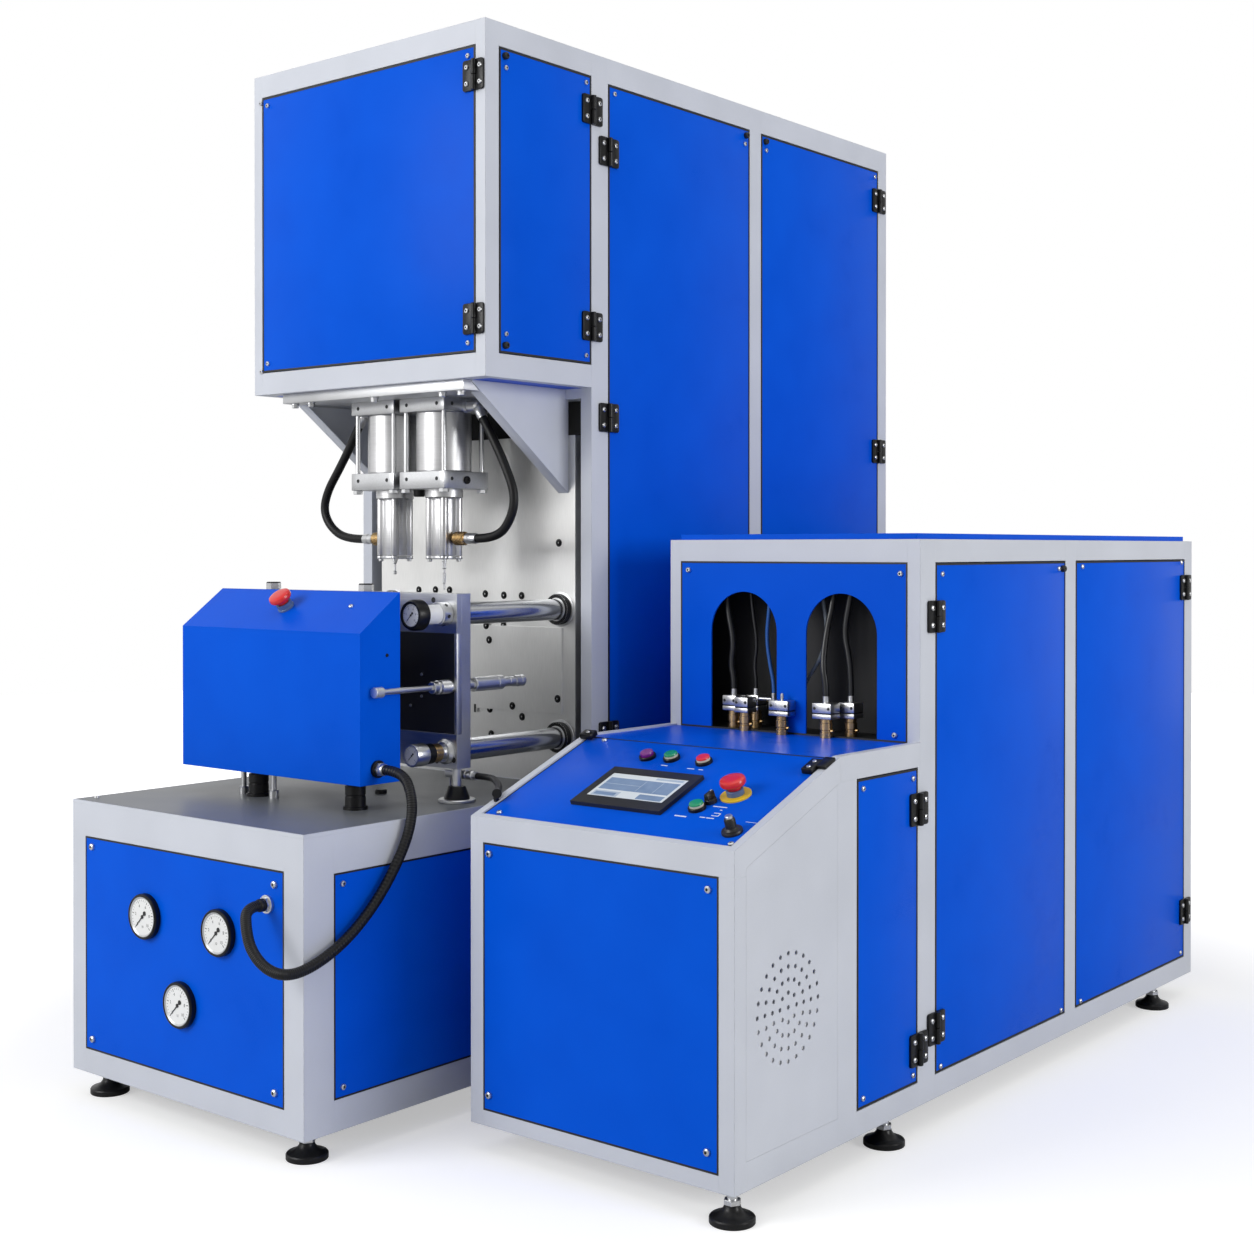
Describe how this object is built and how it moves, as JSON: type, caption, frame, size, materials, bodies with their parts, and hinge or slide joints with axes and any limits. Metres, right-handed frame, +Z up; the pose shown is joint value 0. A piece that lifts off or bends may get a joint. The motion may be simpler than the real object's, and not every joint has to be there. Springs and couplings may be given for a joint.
{
  "type": "blow moulding machine",
  "caption": "Semi-automatic stretch blow moulding machine: a tower with a mould clamp and blow cylinders beside a heater cabinet with a sloping control console.",
  "frame": {"origin": "on the floor, under the centre of the machine's box", "axes": "+X to the machine's right, +Y from its front to its back, +Z up"},
  "size_m": [1.294, 2.0212, 1.892],
  "materials": {
    "blue_paint": "smooth gloss powder coat",
    "grey_paint": "pale grey powder coat, fine texture",
    "stainless": "ground and lightly brushed",
    "polished_steel": "hard chromed and polished",
    "aluminium": "machined and satin anodised",
    "brass": "bare turned brass",
    "black_plastic": "moulded, fine grain",
    "black_rubber": "smooth extruded hose",
    "black_steel": "blackened steel",
    "white_dial": "printed dial behind a clear cover",
    "red_plastic": "moulded gloss",
    "green_plastic": "moulded gloss",
    "purple_plastic": "moulded gloss"
  },
  "bodies": {
    "root": {"base_frame": "grey_paint", "base_gauges": "white_dial", "base_panels": "blue_paint", "blow_cylinder_left": "aluminium", "blow_cylinder_right": "aluminium", "blow_valves": "brass", "cabinet_frame": "grey_paint", "cabinet_panels": "blue_paint", "clamp_back_plate": "stainless", "clamp_cylinder": "aluminium", "clamp_housing": "blue_paint", "conduit": "black_rubber", "console_lid": "blue_paint", "console_vent_panel": "grey_paint", "cylinder_bracket": "stainless", "cylinder_hose_left": "black_rubber", "cylinder_hose_right": "black_rubber", "deck_fittings": "stainless", "frame_hinge_leaves": "black_steel", "head_frame": "grey_paint", "hose_fittings": "brass", "levelling_feet": "black_steel", "link_hose": "black_rubber", "touch_screen": "black_plastic", "tower_frame": "grey_paint", "tower_panels": "blue_paint", "valve_tubes": "black_rubber", "window_panel": "blue_paint"},
    "tower_front_door": {"tower_front_door": "blue_paint"},
    "tower_rear_door": {"tower_rear_door": "blue_paint"},
    "head_front_door": {"head_front_door": "blue_paint"},
    "head_side_door": {"head_side_door": "blue_paint"},
    "cabinet_front_door": {"cabinet_front_door": "blue_paint"},
    "cabinet_rear_door": {"cabinet_rear_door": "blue_paint"},
    "console_door": {"console_door": "blue_paint"},
    "tower_front_catch": {"tower_front_catch": "black_steel"},
    "tower_rear_catch": {"tower_rear_catch": "black_steel"},
    "cabinet_front_catch": {"cabinet_front_catch": "black_steel"},
    "head_side_catch_high": {"head_side_catch_high": "black_steel"},
    "head_side_catch_low": {"head_side_catch_low": "black_steel"},
    "clamp": {"clamp_platen": "stainless", "clamp_piston": "black_steel", "tie_bars": "polished_steel", "clamp_gauges": "stainless", "stop_rod": "stainless"},
    "left_stretch": {"stretch_rod_left": "polished_steel"},
    "right_stretch": {"stretch_rod_right": "polished_steel"},
    "upper_needle": {"upper_needle": "black_plastic"},
    "lower_needle": {"lower_needle": "black_plastic"},
    "base_needle_left": {"base_needle_left": "black_plastic"},
    "base_needle_right": {"base_needle_right": "black_plastic"},
    "base_needle_low": {"base_needle_low": "black_plastic"},
    "purple_button": {"purple_button": "purple_plastic"},
    "green_button": {"green_button": "green_plastic"},
    "red_button": {"red_button": "red_plastic"},
    "jog_button": {"jog_button": "green_plastic"},
    "console_stop_button": {"console_stop_button": "red_plastic"},
    "housing_stop_button": {"housing_stop_button": "red_plastic"},
    "mode_selector": {"mode_selector": "black_plastic"},
    "speed_knob": {"speed_knob": "black_plastic"}
  },
  "joints": [
    {"name": "tower_front_door_hinge", "type": "hinge", "parent": "root", "child": "tower_front_door", "pos_m": [-0.0085, -0.2345, 1.205], "axis": [0, 0, -1], "range_deg": [0, 12]},
    {"name": "tower_rear_door_hinge", "type": "hinge", "parent": "root", "child": "tower_rear_door", "pos_m": [-0.0085, 0.7425, 1.205], "axis": [0, 0, 1], "range_deg": [0, 12]},
    {"name": "head_front_door_hinge", "type": "hinge", "parent": "root", "child": "head_front_door", "pos_m": [-0.037, -0.572, 1.5815], "axis": [0, 0, 1], "range_deg": [0, 95]},
    {"name": "head_side_door_hinge", "type": "hinge", "parent": "root", "child": "head_side_door", "pos_m": [-0.0085, -0.2825, 1.5815], "axis": [0, 0, 1], "range_deg": [0, 100]},
    {"name": "cabinet_front_door_hinge", "type": "hinge", "parent": "root", "child": "cabinet_front_door", "pos_m": [0.6445, -0.1585, 0.5165], "axis": [0, 0, -1], "range_deg": [0, 95]},
    {"name": "cabinet_rear_door_hinge", "type": "hinge", "parent": "root", "child": "cabinet_rear_door", "pos_m": [0.6445, 0.9345, 0.5165], "axis": [0, 0, 1], "range_deg": [0, 100]},
    {"name": "console_door_hinge", "type": "hinge", "parent": "root", "child": "console_door", "pos_m": [0.6445, -0.2165, 0.347], "axis": [0, 0, 1], "range_deg": [0, 90]},
    {"name": "tower_front_catch_turn", "type": "hinge", "parent": "tower_front_door", "child": "tower_front_catch", "pos_m": [-0.01, 0.2125, 1.83], "axis": [1, 0, 0], "range_deg": [0, 90]},
    {"name": "tower_rear_catch_turn", "type": "hinge", "parent": "tower_rear_door", "child": "tower_rear_catch", "pos_m": [-0.01, 0.2835, 1.83], "axis": [1, 0, 0], "range_deg": [0, 90]},
    {"name": "cabinet_front_catch_turn", "type": "hinge", "parent": "cabinet_front_door", "child": "cabinet_front_catch", "pos_m": [0.643, 0.3275, 0.933], "axis": [1, 0, 0], "range_deg": [0, 90]},
    {"name": "head_side_catch_high_turn", "type": "hinge", "parent": "head_side_door", "child": "head_side_catch_high", "pos_m": [-0.01, -0.5175, 1.835], "axis": [1, 0, 0], "range_deg": [0, 90]},
    {"name": "head_side_catch_low_turn", "type": "hinge", "parent": "head_side_door", "child": "head_side_catch_low", "pos_m": [-0.01, -0.5175, 1.328], "axis": [1, 0, 0], "range_deg": [0, 90]},
    {"name": "clamp_slide", "type": "slide", "parent": "root", "child": "clamp", "axis": [0, 1, 0], "range_m": [0, 0.07]},
    {"name": "left_stretch_slide", "type": "slide", "parent": "root", "child": "left_stretch", "axis": [0, 0, -1], "range_m": [0, 0.09]},
    {"name": "right_stretch_slide", "type": "slide", "parent": "root", "child": "right_stretch", "axis": [0, 0, -1], "range_m": [0, 0.09]},
    {"name": "upper_needle_turn", "type": "hinge", "parent": "clamp", "child": "upper_needle", "pos_m": [-0.098, -0.6645, 0.856], "axis": [0, 1, 0], "range_deg": [0, 270]},
    {"name": "lower_needle_turn", "type": "hinge", "parent": "clamp", "child": "lower_needle", "pos_m": [-0.098, -0.6625, 0.6135], "axis": [0, 1, 0], "range_deg": [0, 270]},
    {"name": "base_needle_left_turn", "type": "hinge", "parent": "root", "child": "base_needle_left", "pos_m": [-0.42, -0.9845, 0.345], "axis": [0, 1, 0], "range_deg": [0, 270]},
    {"name": "base_needle_right_turn", "type": "hinge", "parent": "root", "child": "base_needle_right", "pos_m": [-0.22, -0.9845, 0.345], "axis": [0, 1, 0], "range_deg": [0, 270]},
    {"name": "base_needle_low_turn", "type": "hinge", "parent": "root", "child": "base_needle_low", "pos_m": [-0.323, -0.9845, 0.21], "axis": [0, 1, 0], "range_deg": [0, 270]},
    {"name": "purple_button_push", "type": "slide", "parent": "root", "child": "purple_button", "axis": [0, 0.3605, -0.9327], "range_m": [0, 0.003], "stiffness_N_per_m": 400},
    {"name": "green_button_push", "type": "slide", "parent": "root", "child": "green_button", "axis": [0, 0.3605, -0.9327], "range_m": [0, 0.003], "stiffness_N_per_m": 400},
    {"name": "red_button_push", "type": "slide", "parent": "root", "child": "red_button", "axis": [0, 0.3605, -0.9327], "range_m": [0, 0.003], "stiffness_N_per_m": 400},
    {"name": "jog_button_push", "type": "slide", "parent": "root", "child": "jog_button", "axis": [0, 0.3605, -0.9327], "range_m": [0, 0.003], "stiffness_N_per_m": 400},
    {"name": "console_stop_push", "type": "slide", "parent": "root", "child": "console_stop_button", "axis": [0, 0.3605, -0.9327], "range_m": [0, 0.005], "stiffness_N_per_m": 900},
    {"name": "housing_stop_push", "type": "slide", "parent": "root", "child": "housing_stop_button", "axis": [0, 0.5958, -0.8032], "range_m": [0, 0.005], "stiffness_N_per_m": 900},
    {"name": "mode_selector_turn", "type": "hinge", "parent": "root", "child": "mode_selector", "pos_m": [0.508, -0.6169, 0.58837], "axis": [0, -0.3605, 0.9327], "range_deg": [-45, 45]},
    {"name": "speed_knob_turn", "type": "hinge", "parent": "root", "child": "speed_knob", "pos_m": [0.599, -0.68779, 0.56097], "axis": [0, -0.3605, 0.9327], "range_deg": [-135, 135]}
  ]
}
